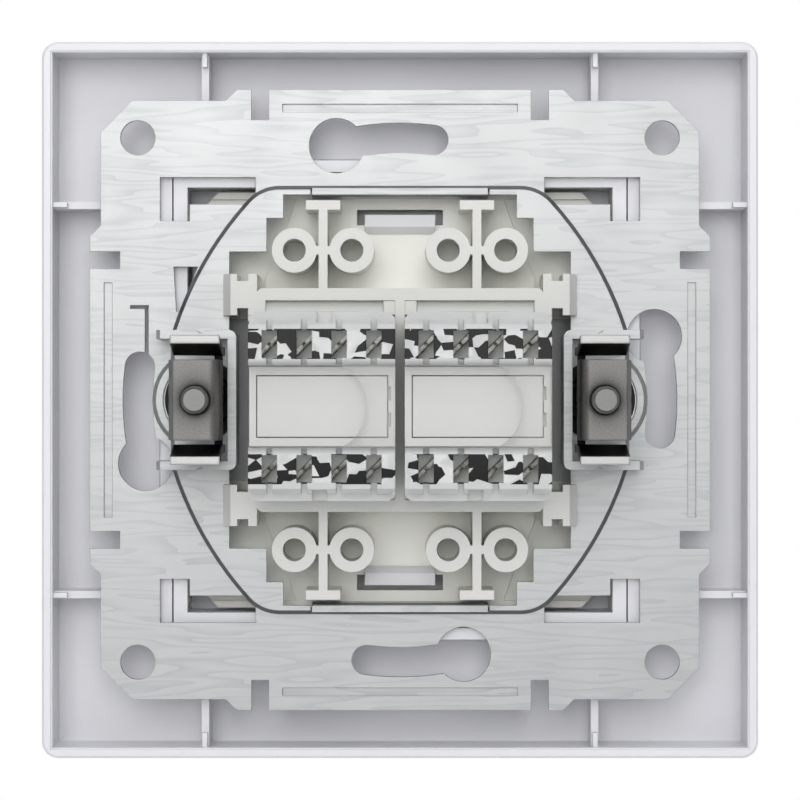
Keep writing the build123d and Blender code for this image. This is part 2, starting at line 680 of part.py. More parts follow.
# Module carrier: a floor with cradles for two jacks, bosses, clips and windows for the tongues
with BuildPart() as module_carrier:
    carrier_h = CARRIER_TOP_Y - CARRIER_FLOOR_Y
    cradle_in = CRADLE_WEB / 2
    with BuildSketch(facing(CARRIER_FLOOR_Y)):
        Rectangle(2 * CARRIER_HALF, 2 * CARRIER_HALF)
        chamfer(vertices(), CARRIER_CHAMFER)
        for x_sign in (1, -1):
            between(
                x_sign * WAIST_HALF, x_sign * 2 * CARRIER_HALF,
                -WAIST_HALF_HEIGHT, WAIST_HALF_HEIGHT, Mode.SUBTRACT,
            )
        for z_sign in (1, -1):
            between(
                -TONGUE_WIDTH / 2 - TONGUE_WINDOW_MARGIN, TONGUE_WIDTH / 2 + TONGUE_WINDOW_MARGIN,
                z_sign * (TONGUE_Z - FIT_GAP), z_sign * TONGUE_WINDOW_OUT_Z, Mode.SUBTRACT,
            )
    extrude(amount=CARRIER_FLOOR_T)

    # Outer corners of the floor, one step lower
    with BuildSketch(facing(CARRIER_FLOOR_Y)):
        Polygon(*FLOOR_STEP_OUTLINE, (2 * CARRIER_HALF, FLOOR_STEP_OUTLINE[-1][1]),
                (2 * CARRIER_HALF, FLOOR_STEP_OUTLINE[0][1]), align=None)
        mirror(about=Plane.XZ)
        mirror(about=Plane.YZ)
    extrude(amount=FLOOR_STEP, mode=Mode.SUBTRACT)

    # Walls that stand up to one level: cradle, ribs, bosses and their webs
    with BuildSketch(facing(CARRIER_TOP_Y)):
        RectangleRounded(2 * CRADLE_OUTER_X, 2 * CRADLE_HALF_HEIGHT, CRADLE_CORNER_R)
        for x_sign in (1, -1):
            stem_x = x_sign * RIB_STEM_X
            bar_in_z = RIB_BAR_OUT_Z - RIB_BAR_T
            between(stem_x - RIB_STEM_T / 2, stem_x + RIB_STEM_T / 2, -bar_in_z, bar_in_z)
            for z_sign in (1, -1):
                with Locations((stem_x, z_sign * (RIB_BAR_OUT_Z - RIB_BAR_T / 2))):
                    Rectangle(2 * RIB_BAR_HALF, RIB_BAR_T)
                with Locations((stem_x, z_sign * BOSS_Z)):
                    Rectangle(2 * BOSS_OFFSET, BOSS_WEB_T)
                    with Locations((BOSS_OFFSET, 0), (-BOSS_OFFSET, 0)):
                        Circle(BOSS_R)
    extrude(amount=carrier_h)
    with BuildSketch(facing(CARRIER_TOP_Y)):
        with GridLocations(2 * RIB_STEM_X, 2 * BOSS_Z, 2, 2):
            with Locations((BOSS_OFFSET, 0), (-BOSS_OFFSET, 0)):
                Circle(BOSS_BORE_R)
    extrude(amount=BOSS_BORE_DEPTH, mode=Mode.SUBTRACT)
    cradle_out = CRADLE_OUTER_X - CRADLE_OUTER_WALL
    cradle_half = CRADLE_HALF_HEIGHT - CRADLE_TOP_RAIL
    with BuildSketch(facing(CARRIER_TOP_Y)):
        between(cradle_in, cradle_out, -cradle_half, cradle_half)
        mirror(about=Plane.YZ)
    extrude(amount=CARRIER_TOP_Y - CARRIER_UNDER_Y, mode=Mode.SUBTRACT)

    # Clips hooked over the raised sheet, each with a moulding slot at its ends, and pads under the sheet
    with BuildSketch(Plane.XY):
        clip_stem = OPENING_STEPS[0][0] - CLIP_STEM_GAP
        Polygon(
            (CLIP_IN_X, CARRIER_FLOOR_Y),
            (clip_stem, CARRIER_FLOOR_Y),
            (clip_stem, RAISE),
            (CLIP_OUT_X, RAISE),
            (CLIP_OUT_X, RAISE + CLIP_NOSE),
            (clip_stem, CARRIER_TOP_Y),
            (CLIP_IN_X, CARRIER_TOP_Y),
            align=None,
        )
        mirror(about=Plane.YZ)
    extrude(amount=CLIP_OUT_Z, both=True)
    with BuildSketch(facing(CARRIER_TOP_Y)):
        for x_sign in (1, -1):
            between(x_sign * CRADLE_OUTER_X, x_sign * CLIP_OUT_X, -CLIP_IN_Z, CLIP_IN_Z)
    extrude(amount=carrier_h, mode=Mode.SUBTRACT)
    with BuildSketch(facing(CARRIER_TOP_Y)):
        for z_sign in (1, -1):
            slot_end = CLIP_SLOT_IN_X + CLIP_SLOT_WIDTH
            between(
                CLIP_SLOT_IN_X, slot_end, z_sign * CLIP_IN_Z, z_sign * (CLIP_IN_Z + CLIP_SLOT_DEPTH)
            )
            between(
                CLIP_SLOT_IN_X, slot_end, z_sign * CLIP_OUT_Z, z_sign * (CLIP_OUT_Z - CLIP_SLOT_DEPTH)
            )
        mirror(about=Plane.YZ)
    extrude(amount=carrier_h, mode=Mode.SUBTRACT)
    with BuildSketch(facing(RAISED_UNDER_Y)):
        for z_sign in (1, -1):
            between(PAD_IN_X, PAD_OUT_X, z_sign * CLIP_IN_Z, z_sign * CLIP_OUT_Z)
        mirror(about=Plane.YZ)
    extrude(amount=RAISED_UNDER_Y - CARRIER_FLOOR_Y + FLOOR_STEP)
finish(module_carrier, "module_carrier")


def finish_jack_piece(piece, name):
    """Writes a piece of the right-hand jack, and the same piece moved across for the left-hand one."""
    finish(piece, f"{name}_right")
    with BuildPart() as twin:
        with Locations((-2 * JACK_X, 0, 0)):
            add(piece.part)
    finish(twin, f"{name}_left")


# Jack housing: the port's cavity, a pocket for the contact insert and a ramped latch arm on top
with BuildPart() as jack_housing:
    half_width = HOUSING_WIDTH / 2
    with BuildSketch(facing(CARRIER_TOP_Y)):
        between(JACK_X - half_width, JACK_X + half_width, HOUSING_BOTTOM_Z, HOUSING_TOP_Z)
    extrude(amount=CARRIER_TOP_Y - HOUSING_FRONT_Y)
    with BuildSketch(Plane.YZ.offset(JACK_X)):
        Polygon(
            (CARRIER_TOP_Y, HOUSING_TOP_Z),
            (HOUSING_RAMP_Y, HOUSING_RAMP_Z),
            (HOUSING_RAMP_Y, HOUSING_TOP_Z),
            align=None,
        )
    extrude(amount=LATCH_ARM_WIDTH / 2, both=True)
    with BuildSketch(facing(HOUSING_FRONT_Y + PORT_DEPTH)):
        with Locations((JACK_X, 0)):
            port_opening(0)
    extrude(amount=PORT_DEPTH, mode=Mode.SUBTRACT)
    comb_half = COMB_WIDTH / 2
    comb_top = COMB_Z + COMB_HEIGHT
    with BuildSketch(facing(CARRIER_TOP_Y)):
        pocket_half = comb_half + FIT_GAP
        between(JACK_X - pocket_half, JACK_X + pocket_half, COMB_Z - FIT_GAP, comb_top + FIT_GAP)
    extrude(amount=CARRIER_TOP_Y - COMB_FRONT_Y, mode=Mode.SUBTRACT)
    with BuildSketch(facing(COMB_FRONT_Y)):
        between(JACK_X - pocket_half, JACK_X + pocket_half, 0, comb_top + FIT_GAP)
    extrude(amount=COMB_FRONT_Y - HOUSING_FRONT_Y - PORT_LIP, mode=Mode.SUBTRACT)
finish_jack_piece(jack_housing, "jack_housing")


# Contact insert: a comb with one groove for each spring contact
with BuildPart() as contact_insert:
    with BuildSketch(facing(CARRIER_TOP_Y)):
        between(JACK_X - comb_half, JACK_X + comb_half, COMB_Z, comb_top)
    extrude(amount=CARRIER_TOP_Y - COMB_FRONT_Y)
    with BuildSketch(facing(CARRIER_TOP_Y)):
        with Locations((JACK_X, WIRE_RUN_Z)):
            with GridLocations(CONTACT_PITCH, 0, CONTACT_COUNT, 1):
                Rectangle(WIRE_T + 2 * FIT_GAP, WIRE_T + 2 * FIT_GAP)
        with Locations((JACK_X, (WIRE_RUN_Z + comb_top) / 2)):
            with GridLocations(CONTACT_PITCH, 0, CONTACT_COUNT, 1):
                Rectangle(WIRE_T + 2 * FIT_GAP, comb_top - WIRE_RUN_Z)
    extrude(amount=CARRIER_TOP_Y - COMB_FRONT_Y, mode=Mode.SUBTRACT)
finish_jack_piece(contact_insert, "contact_insert")


# Spring contacts: bent strips that turn at the comb's front edge and slope back into the port
with BuildPart() as spring_wire:
    with BuildLine(Plane.YZ) as wire_path:
        Polyline(
            (CARRIER_TOP_Y, WIRE_RUN_Z),
            (WIRE_NOSE_Y, WIRE_RUN_Z),
            (WIRE_NOSE_Y - WIRE_TURN_R, WIRE_RUN_Z - WIRE_TURN_R),
            (WIRE_NOSE_Y, WIRE_RUN_Z - 2 * WIRE_TURN_R),
            (WIRE_END_Y, WIRE_END_Z),
        )
    with BuildSketch(facing(CARRIER_TOP_Y)):
        with Locations((0, WIRE_RUN_Z)):
            Rectangle(WIRE_T, WIRE_T)
    sweep(path=wire_path.wires()[0], transition=Transition.RIGHT)
with BuildPart() as port_contacts:
    with Locations((JACK_X, 0, 0)):
        with GridLocations(CONTACT_PITCH, 0, CONTACT_COUNT, 1):
            add(spring_wire.part)
finish_jack_piece(port_contacts, "port_contacts")


# Circuit board between the housing and the rear body
with BuildPart() as circuit_board:
    with BuildSketch(facing(BOARD_BACK_Y)):
        with Locations((JACK_X, JACK_Z)):
            Rectangle(BOARD_WIDTH, BOARD_HEIGHT)
    extrude(amount=BOARD_T)
finish_jack_piece(circuit_board, "circuit_board")


def blade_slots(margin):
    """One slanted slot for each wiring contact of both rows."""
    with Locations((JACK_X, JACK_Z)):
        with GridLocations(IDC_PITCH, 2 * IDC_ROW, IDC_COUNT, 2):
            Rectangle(IDC_BLADE_LENGTH + 2 * margin, IDC_BLADE_T + 2 * margin, rotation=IDC_BLADE_TURN)


# Rear body: a block behind the board, with a raised deck between the two rows of contacts
with BuildPart() as rear_body:
    with BuildSketch(facing(BLOCK_TOP_Y)):
        with Locations((JACK_X, JACK_Z)):
            Rectangle(BLOCK_WIDTH, BLOCK_HEIGHT)
            chamfer(vertices(), BLOCK_CORNER)
    extrude(amount=BLOCK_TOP_Y - BOARD_BACK_Y)
    with BuildSketch(facing(DECK_Y)):
        with Locations((JACK_X, JACK_Z)):
            Rectangle(BLOCK_WIDTH, 2 * DECK_HALF)
    extrude(amount=DECK_Y - BLOCK_TOP_Y)
    with BuildSketch(facing(DECK_Y)):
        with Locations((JACK_X, JACK_Z)):
            Rectangle(PANEL_WIDTH, PANEL_HEIGHT)
            Rectangle(PANEL_WIDTH - 2 * PANEL_GAP, PANEL_HEIGHT - 2 * PANEL_GAP, mode=Mode.SUBTRACT)
            with Locations((-LATCH_SLOT_X, LATCH_SLOT_SPREAD), (-LATCH_SLOT_X, -LATCH_SLOT_SPREAD)):
                Rectangle(LATCH_SLOT_WIDTH, LATCH_SLOT_LENGTH)
    extrude(amount=PANEL_T, mode=Mode.SUBTRACT)
    with BuildSketch(facing(BLOCK_TOP_Y)):
        blade_slots(FIT_GAP)
    extrude(amount=BLOCK_TOP_Y - BOARD_BACK_Y, mode=Mode.SUBTRACT)
finish_jack_piece(rear_body, "rear_body")


# Wiring contacts: slit blades set at a slant, one row above the deck and one below
for row, row_name in ((1, "upper"), (-1, "lower")):
    with BuildPart() as idc_contacts:
        row_z = JACK_Z + row * IDC_ROW
        with BuildSketch(facing(IDC_BLADE_TOP_Y)):
            with Locations((JACK_X, row_z)):
                with GridLocations(IDC_PITCH, 0, IDC_COUNT, 1):
                    Rectangle(IDC_BLADE_LENGTH, IDC_BLADE_T, rotation=IDC_BLADE_TURN)
        extrude(amount=IDC_BLADE_TOP_Y - BOARD_BACK_Y)
        with BuildSketch(facing(IDC_BLADE_TOP_Y)):
            with Locations((JACK_X, row_z)):
                with GridLocations(IDC_PITCH, 0, IDC_COUNT, 1):
                    Rectangle(IDC_SLIT_WIDTH, 2 * IDC_BLADE_T, rotation=IDC_BLADE_TURN)
        extrude(amount=IDC_SLIT_DEPTH, mode=Mode.SUBTRACT)
    finish_jack_piece(idc_contacts, f"idc_contacts_{row_name}")


# Clear wiring cap: C-shaped round the deck, hollow over both rows, with a window and a wire channel for
# each contact
with BuildPart() as idc_cap:
    half_cap = BLOCK_HEIGHT / 2
    with BuildSketch(Plane.YZ.offset(JACK_X)):
        with Locations((0, JACK_Z)):
            Polygon(
                (BLOCK_TOP_Y, half_cap),
                (CLEAR_STEP_Y, half_cap),
                (CLEAR_STEP_Y, half_cap - CLEAR_STEP_IN),
                (CLEAR_BEVEL_Y, half_cap - CLEAR_STEP_IN),
                (CLEAR_TOP_Y, half_cap - CLEAR_BEVEL_IN),
                (CLEAR_TOP_Y, -half_cap + CLEAR_BEVEL_IN),
                (CLEAR_BEVEL_Y, -half_cap + CLEAR_STEP_IN),
                (CLEAR_STEP_Y, -half_cap + CLEAR_STEP_IN),
                (CLEAR_STEP_Y, -half_cap),
                (BLOCK_TOP_Y, -half_cap),
                align=None,
            )
    extrude(amount=BLOCK_WIDTH / 2, both=True)
    chamfer(idc_cap.edges().filter_by(Axis.Y), CLEAR_CORNER)
    cap_h = CLEAR_TOP_Y - BLOCK_TOP_Y
    with BuildSketch(facing(DECK_Y + FIT_GAP)):
        with Locations((JACK_X, JACK_Z)):
            Rectangle(2 * BLOCK_WIDTH, 2 * DECK_HALF + 2 * FIT_GAP)
    extrude(amount=cap_h, mode=Mode.SUBTRACT)
    with BuildSketch(facing(CLEAR_TOP_Y)):
        with Locations((JACK_X, JACK_Z)):
            Circle(CLEAR_ARC_R)
            Rectangle(2 * BLOCK_WIDTH, 2 * DECK_HALF + 2 * FIT_GAP, mode=Mode.INTERSECT)
            with Locations((BLOCK_WIDTH, 0)):
                Rectangle(2 * BLOCK_WIDTH, 2 * DECK_HALF + 2 * FIT_GAP)
            with GridLocations(IDC_PITCH, 2 * IDC_ROW, IDC_COUNT, 2):
                Rectangle(IDC_WINDOW_WIDTH, IDC_WINDOW_HEIGHT)
            for z_sign in (1, -1):
                with Locations((z_sign * -LATCH_NOTCH_SHIFT, z_sign * half_cap)):
                    Rectangle(LATCH_NOTCH_WIDTH, 2 * LATCH_NOTCH_DEPTH)
    extrude(amount=cap_h, mode=Mode.SUBTRACT)
    with BuildSketch(facing(CLEAR_TOP_Y)):
        with Locations((JACK_X, JACK_Z)):
            with GridLocations(IDC_PITCH, 0, IDC_COUNT, 1):
                Rectangle(WIRE_CHANNEL_WIDTH, 2 * half_cap)
            Rectangle(2 * BLOCK_WIDTH, 2 * WIRE_CHANNEL_IN, mode=Mode.SUBTRACT)
    extrude(amount=WIRE_CHANNEL_DEPTH, mode=Mode.SUBTRACT)
    with BuildSketch(facing(IDC_BLADE_TOP_Y + FIT_GAP)):
        with Locations((JACK_X, JACK_Z)):
            with GridLocations(0, 2 * IDC_ROW, 1, 2):
                Rectangle(CAP_POCKET_WIDTH, IDC_WINDOW_HEIGHT)
    extrude(amount=IDC_BLADE_TOP_Y + FIT_GAP - BLOCK_TOP_Y, mode=Mode.SUBTRACT)
finish_jack_piece(idc_cap, "idc_cap")
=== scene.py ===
import json
import math

import bpy
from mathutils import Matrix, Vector


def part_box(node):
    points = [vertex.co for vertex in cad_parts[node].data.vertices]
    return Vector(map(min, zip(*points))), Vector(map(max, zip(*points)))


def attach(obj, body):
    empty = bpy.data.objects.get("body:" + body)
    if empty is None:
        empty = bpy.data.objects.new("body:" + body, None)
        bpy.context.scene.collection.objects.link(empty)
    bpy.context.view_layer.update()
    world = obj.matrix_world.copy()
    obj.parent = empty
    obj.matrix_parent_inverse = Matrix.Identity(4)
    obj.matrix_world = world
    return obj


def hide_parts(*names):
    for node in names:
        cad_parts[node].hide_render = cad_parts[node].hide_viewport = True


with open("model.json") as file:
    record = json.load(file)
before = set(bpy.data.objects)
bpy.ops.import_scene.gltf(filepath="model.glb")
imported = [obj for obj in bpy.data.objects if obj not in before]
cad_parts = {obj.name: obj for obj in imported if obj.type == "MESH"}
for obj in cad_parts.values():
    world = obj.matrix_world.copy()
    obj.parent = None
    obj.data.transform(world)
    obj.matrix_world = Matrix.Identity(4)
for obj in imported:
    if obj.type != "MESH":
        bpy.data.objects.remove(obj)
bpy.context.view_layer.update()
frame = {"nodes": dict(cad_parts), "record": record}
MM = 0.001

# Middle height of both jacks, and how far from it the rows of contacts begin and end
cap_low, cap_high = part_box("idc_cap_right")
JACK_MIDDLE_Z = (cap_low[2] + cap_high[2]) / 2
ROW_IN = 5.2 * MM
ROW_OUT = 8.5 * MM

# The round bumps of the support plate lie beyond this x and within this height, beside the claws
BUMP_IN_X = 24 * MM
BUMP_HALF_Z = 7.6 * MM

# Top of the carrier, and the depths between which painted light makes its colour paler
CARRIER_TOP_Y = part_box("module_carrier")[1][1]
PAINTED_LIGHT_FROM_Y = CARRIER_TOP_Y - 0.5 * MM
PAINTED_LIGHT_TO_Y = CARRIER_TOP_Y - 8.0 * MM

# Both screws stand this far from the middle of the socket
screw_low, screw_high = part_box("claw_screw_right")
SCREW_X = (screw_low[0] + screw_high[0]) / 2

# The painted dark reflection in the cup of a screw seat ends at this distance from the screw's axis
CUP_RADIUS = 4.5 * MM

# The ends of a claw's wings, which get a painted highlight, lie further than this from the middle height
WING_END_Z = 6.0 * MM


# Building blocks for materials

NOISE_LOW, NOISE_HIGH = 0.3, 0.7


def calc(tree, operation, first, second=0.0):
    """One step of arithmetic on a node's value; the second term is a number or another value."""
    node = tree.nodes.new("ShaderNodeMath")
    node.operation = operation
    tree.links.new(first, node.inputs[0])
    if isinstance(second, (int, float)):
        node.inputs[1].default_value = second
    else:
        tree.links.new(second, node.inputs[1])
    return node.outputs[0]


def spread(tree, value, low, high, to_low=0.0, to_high=1.0):
    """Takes the span from low to high to the span from to_low to to_high, and holds it between both ends."""
    node = tree.nodes.new("ShaderNodeMapRange")
    for socket, number in (("From Min", low), ("From Max", high), ("To Min", to_low), ("To Max", to_high)):
        node.inputs[socket].default_value = number
    tree.links.new(value, node.inputs["Value"])
    return node.outputs["Result"]


def stretched_place(tree, stretch, tilt=0.0):
    """The object's own space, stretched along its axes and tilted about y."""
    coords = tree.nodes.new("ShaderNodeTexCoord")
    mapping = tree.nodes.new("ShaderNodeMapping")
    mapping.inputs["Rotation"].default_value = (0, tilt, 0)
    mapping.inputs["Scale"].default_value = stretch
    tree.links.new(coords.outputs["Object"], mapping.inputs["Vector"])
    return mapping.outputs["Vector"]


def noise(tree, scale, detail, stretch=(1, 1, 1)):
    """Noise over the object's own space, with its scale in features per metre."""
    texture = tree.nodes.new("ShaderNodeTexNoise")
    texture.inputs["Scale"].default_value = scale
    texture.inputs["Detail"].default_value = detail
    tree.links.new(stretched_place(tree, stretch), texture.inputs["Vector"])
    return texture.outputs["Fac"]


def place(tree):
    """Outputs X, Y and Z of the point's place in the object's own space."""
    coords = tree.nodes.new("ShaderNodeTexCoord")
    split = tree.nodes.new("ShaderNodeSeparateXYZ")
    tree.links.new(coords.outputs["Object"], split.inputs[0])
    return split.outputs


def facing(tree):
    """Outputs X, Y and Z of the direction that the face looks in."""
    geometry = tree.nodes.new("ShaderNodeNewGeometry")
    split = tree.nodes.new("ShaderNodeSeparateXYZ")
    tree.links.new(geometry.outputs["True Normal"], split.inputs[0])
    return split.outputs


def paint_over(made, cover, colour):
    """Lays a colour over the material's own, where cover is 1."""
    tree = made.node_tree
    base = tree.nodes["Principled BSDF"].inputs["Base Color"]
    mix = tree.nodes.new("ShaderNodeMix")
    mix.data_type = "RGBA"
    mix.inputs["B"].default_value = (*colour, 1)
    tree.links.new(cover, mix.inputs["Factor"])
    tree.links.new(base.links[0].from_socket, mix.inputs["A"])
    tree.links.new(mix.outputs["Result"], base)


def surface(name, dark, light, roughness, metallic=0.0, patch=150, grain=9000, bump=0.004, edge=0.12,
            specular=0.5):
    """Moulded or stamped surface: patchy colour, uneven gloss, fine grain and softened edges.

    Patch and grain are in features per metre, bump and edge in millimetres."""
    patch_detail, grain_detail, uneven = 3.0, 5.0, 0.1
    made = bpy.data.materials.new(name)
    made.use_nodes = True
    tree = made.node_tree
    shader = tree.nodes["Principled BSDF"]
    shader.inputs["Metallic"].default_value = metallic
    shader.inputs["Specular IOR Level"].default_value = specular
    patches = noise(tree, patch, patch_detail)
    colour = tree.nodes.new("ShaderNodeMix")
    colour.data_type = "RGBA"
    colour.inputs["A"].default_value = (*dark, 1)
    colour.inputs["B"].default_value = (*light, 1)
    tree.links.new(spread(tree, patches, NOISE_LOW, NOISE_HIGH), colour.inputs["Factor"])
    tree.links.new(colour.outputs["Result"], shader.inputs["Base Color"])
    gloss = spread(tree, patches, NOISE_LOW, NOISE_HIGH, roughness * (1 - uneven), roughness * (1 + uneven))
    tree.links.new(gloss, shader.inputs["Roughness"])
    rounded = tree.nodes.new("ShaderNodeBevel")
    rounded.samples = 4
    rounded.inputs["Radius"].default_value = edge * MM
    raised = tree.nodes.new("ShaderNodeBump")
    raised.inputs["Strength"].default_value = 1.0
    raised.inputs["Distance"].default_value = bump * MM
    tree.links.new(noise(tree, grain, grain_detail), raised.inputs["Height"])
    tree.links.new(rounded.outputs["Normal"], raised.inputs["Normal"])
    tree.links.new(raised.outputs["Normal"], shader.inputs["Normal"])
    return made


# Finishes, and painted light and shade, that go over a surface

def zinc_grain_and_slope_shade(made, streak_colour, slope_shade_colour):
    """Wavy level lines of the zinc coat along the sheet, and painted shade on the steep slopes where the
    sheet is stepped, weaker at the bumps beside the claws.
    """
    tree = made.node_tree
    streaks, streak_stretch, levels, line_from = 330, (0.17, 1, 1.7), 6.0, 0.45
    # Painted shade on slopes: the span of facing that counts as a slope, and its strength there and at the
    # bumps beside the claws
    slope_from, slope_to, slope_soft = 0.2, 0.6, 0.1
    slope_shade, slope_shade_at_bump = 0.85, 0.12
    level = calc(tree, "FRACT", calc(tree, "MULTIPLY", noise(tree, streaks, 1.0, streak_stretch), levels))
    paint_over(made, spread(tree, level, line_from, 1.0), streak_colour)
    into_wall = facing(tree)["Y"]
    rising = spread(tree, into_wall, slope_from, slope_from + slope_soft)
    falling = spread(tree, into_wall, slope_to - slope_soft, slope_to, 1, 0)
    spot = place(tree)
    aside = calc(tree, "GREATER_THAN", calc(tree, "ABSOLUTE", spot["X"]), BUMP_IN_X)
    level_with = calc(tree, "LESS_THAN", calc(tree, "ABSOLUTE", spot["Z"]), BUMP_HALF_Z)
    strength = spread(tree, calc(tree, "MULTIPLY", aside, level_with), 0, 1, slope_shade, slope_shade_at_bump)
    steep = calc(tree, "MULTIPLY", calc(tree, "MULTIPLY", rising, falling), strength)
    paint_over(made, steep, slope_shade_colour)
    return made


def painted_light_in_depths(made, from_y, to_y, colour):
    """Painted light: paler towards the floor of a deep moulding, against the shade that falls there."""
    tree = made.node_tree
    paint_over(made, spread(tree, place(tree)["Y"], to_y, from_y, 1, 0), colour)
    return made


def painted_shade_in_folds(made, reach, colour):
    """Painted shade: dark in the folds of bare metal, where it mirrors little of the room."""
    tree = made.node_tree
    closed, open_wide = 0.62, 0.97
    shade = tree.nodes.new("ShaderNodeAmbientOcclusion")
    shade.samples = 6
    shade.inputs["Distance"].default_value = reach
    paint_over(made, spread(tree, shade.outputs["AO"], closed, open_wide, 1, 0), colour)
    return made


def painted_highlight_on_ends(made, from_z, colour):
    """Painted highlight: lighter on the wall side of the ends that lie further than from_z from the middle
    height.
    """
    tree = made.node_tree
    square_on = 0.9
    far = calc(tree, "GREATER_THAN", calc(tree, "ABSOLUTE", place(tree)["Z"]), from_z)
    flat = calc(tree, "GREATER_THAN", facing(tree)["Y"], square_on)
    paint_over(made, calc(tree, "MULTIPLY", far, flat), colour)
    return made


def cup_with_painted_dark_reflection(made, radius, flange_colour, flange_metallic):
    """Painted dark reflection inside the cup of a screw seat, and like the zinc sheet on its flange."""
    tree = made.node_tree
    spot = place(tree)
    aside = calc(tree, "SUBTRACT", calc(tree, "ABSOLUTE", spot["X"]), SCREW_X)
    across = calc(tree, "MULTIPLY", aside, aside)
    along = calc(tree, "MULTIPLY", spot["Z"], spot["Z"])
    distance = calc(tree, "SQRT", calc(tree, "ADD", across, along))
    outside = calc(tree, "GREATER_THAN", distance, radius)
    paint_over(made, outside, flange_colour)
    metallic = calc(tree, "MULTIPLY", outside, flange_metallic)
    tree.links.new(metallic, tree.nodes["Principled BSDF"].inputs["Metallic"])
    return made


def clear_with_painted_refraction(made, colour):
    """See-through plastic, with painted dark splinters over both rows of contacts that stand for the
    refraction by its inner walls.
    """
    tree = made.node_tree
    splinters, splinter_stretch, splinter_tilt, share_clear = 640, (1, 1, 1.7), math.radians(35), 0.52
    side_on, edge_from, edge_to, edge_alpha = 0.5, 0.80, 0.95, 0.55
    deck_alpha, row_alpha, row_soft = 0.08, 0.62, 1.0 * MM
    height = calc(tree, "ABSOLUTE", calc(tree, "SUBTRACT", place(tree)["Z"], JACK_MIDDLE_Z))
    within = calc(tree, "MULTIPLY", calc(tree, "GREATER_THAN", height, ROW_IN),
                  calc(tree, "LESS_THAN", height, ROW_OUT))
    square_on = calc(tree, "ABSOLUTE", facing(tree)["Y"])
    on_row = calc(tree, "MULTIPLY", calc(tree, "GREATER_THAN", square_on, side_on), within)
    cells = tree.nodes.new("ShaderNodeTexVoronoi")
    cells.inputs["Scale"].default_value = splinters
    tree.links.new(stretched_place(tree, splinter_stretch, splinter_tilt), cells.inputs["Vector"])
    shade = tree.nodes.new("ShaderNodeSeparateColor")
    tree.links.new(cells.outputs["Color"], shade.inputs[0])
    splinter = calc(tree, "MULTIPLY", calc(tree, "GREATER_THAN", shade.outputs[0], share_clear), on_row)
    paint_over(made, splinter, colour)
    slanted = spread(tree, square_on, edge_from, edge_to, edge_alpha, 0.0)
    ribbed = spread(tree, height, ROW_IN - row_soft, ROW_IN, deck_alpha, row_alpha)
    alpha = calc(tree, "MAXIMUM", splinter, calc(tree, "MAXIMUM", slanted, ribbed))
    tree.links.new(alpha, tree.nodes["Principled BSDF"].inputs["Alpha"])
    return made


# Materials

materials = {
    "cover_moulding": surface("white_cover", (0.735, 0.735, 0.762), (0.755, 0.755, 0.782), 0.32),
    "center_moulding": surface("white_center", (0.765, 0.765, 0.785), (0.78, 0.78, 0.80), 0.30),
    # Zinc sheet with its streaked coat, and with painted shade on its steep slopes
    "galvanised_sheet": zinc_grain_and_slope_shade(
        surface("galvanised", (0.395, 0.403, 0.40), (0.43, 0.438, 0.435), 0.38, 0.60, grain=5200, edge=0.10),
        streak_colour=(0.355, 0.367, 0.368), slope_shade_colour=(0.08, 0.088, 0.095),
    ),
    # Carrier with painted light that makes it paler towards its deep floor
    "carrier_moulding": painted_light_in_depths(
        surface("carrier_grey", (0.68, 0.68, 0.645), (0.70, 0.70, 0.665), 0.40, bump=0.006),
        PAINTED_LIGHT_FROM_Y, PAINTED_LIGHT_TO_Y, (0.90, 0.90, 0.84),
    ),
    # Claws with painted shade in their folds and a painted highlight on the ends of their wings
    "nickel_plate": painted_highlight_on_ends(
        painted_shade_in_folds(
            surface("nickel", (0.155, 0.151, 0.144), (0.225, 0.220, 0.210), 0.46, 1.0, patch=6000, bump=0.006,
                    edge=0.35),
            5.0 * MM, (0.008, 0.008, 0.009),
        ),
        WING_END_Z, (0.42, 0.42, 0.41),
    ),
    "plated_screw": surface("screw_zinc", (0.17, 0.17, 0.165), (0.21, 0.21, 0.205), 0.46, 1.0, patch=800,
                            grain=14000, bump=0.002, edge=0.08),
    "jack_moulding": surface("jack_grey", (0.60, 0.605, 0.575), (0.63, 0.635, 0.605), 0.42, bump=0.006),
    "insert_moulding": surface("insert_grey", (0.58, 0.58, 0.56), (0.62, 0.62, 0.60), 0.42, bump=0.006),
    "gold_contact": surface("gold", (0.78, 0.58, 0.24), (0.88, 0.70, 0.36), 0.18, 1.0, bump=0.002, edge=0.05),
    "board_laminate": surface("board_green", (0.03, 0.13, 0.05), (0.05, 0.19, 0.08), 0.35, bump=0.010),
    "tinned_contact": surface("tin", (0.04, 0.04, 0.035), (0.13, 0.13, 0.12), 0.18, 1.0, patch=1400,
                              edge=0.14),
    # Clear caps with painted dark splinters for the refraction by their inner walls
    "clear_plastic": clear_with_painted_refraction(
        surface("clear_cap", (0.86, 0.87, 0.86), (0.92, 0.93, 0.92), 0.08, bump=0.002, edge=0.16,
                specular=0.10),
        (0.01, 0.01, 0.01),
    ),
}
# Screw seats: a painted dark reflection in the cup, and the zinc sheet's colour on the flange
seat_flange_and_painted_cup = cup_with_painted_dark_reflection(
    surface("cup_nickel_painted_dark", (0.008, 0.008, 0.009), (0.02, 0.02, 0.021), 0.22, patch=400, bump=0.003, edge=0.25,
            specular=0.08),
    CUP_RADIUS, flange_colour=(0.41, 0.42, 0.415), flange_metallic=0.6,
)

for part in frame["record"]["subparts"]:
    node = frame["nodes"][part["node"]]
    node.data.materials.clear()
    is_seat = part["node"].startswith("screw_seat")
    node.data.materials.append(seat_flange_and_painted_cup if is_seat else materials[part["material_slot"]])


def new_piece(name, verts, faces, body, finish):
    """Mesh object that rides on a body and wears a material of the frame."""
    mesh = bpy.data.meshes.new(name)
    mesh.from_pydata(verts, [], faces)
    mesh.validate()
    mesh.materials.append(materials[finish])
    made = bpy.data.objects.new(name, mesh)
    bpy.context.scene.collection.objects.link(made)
    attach(made, body)
    return made


# Threaded screws

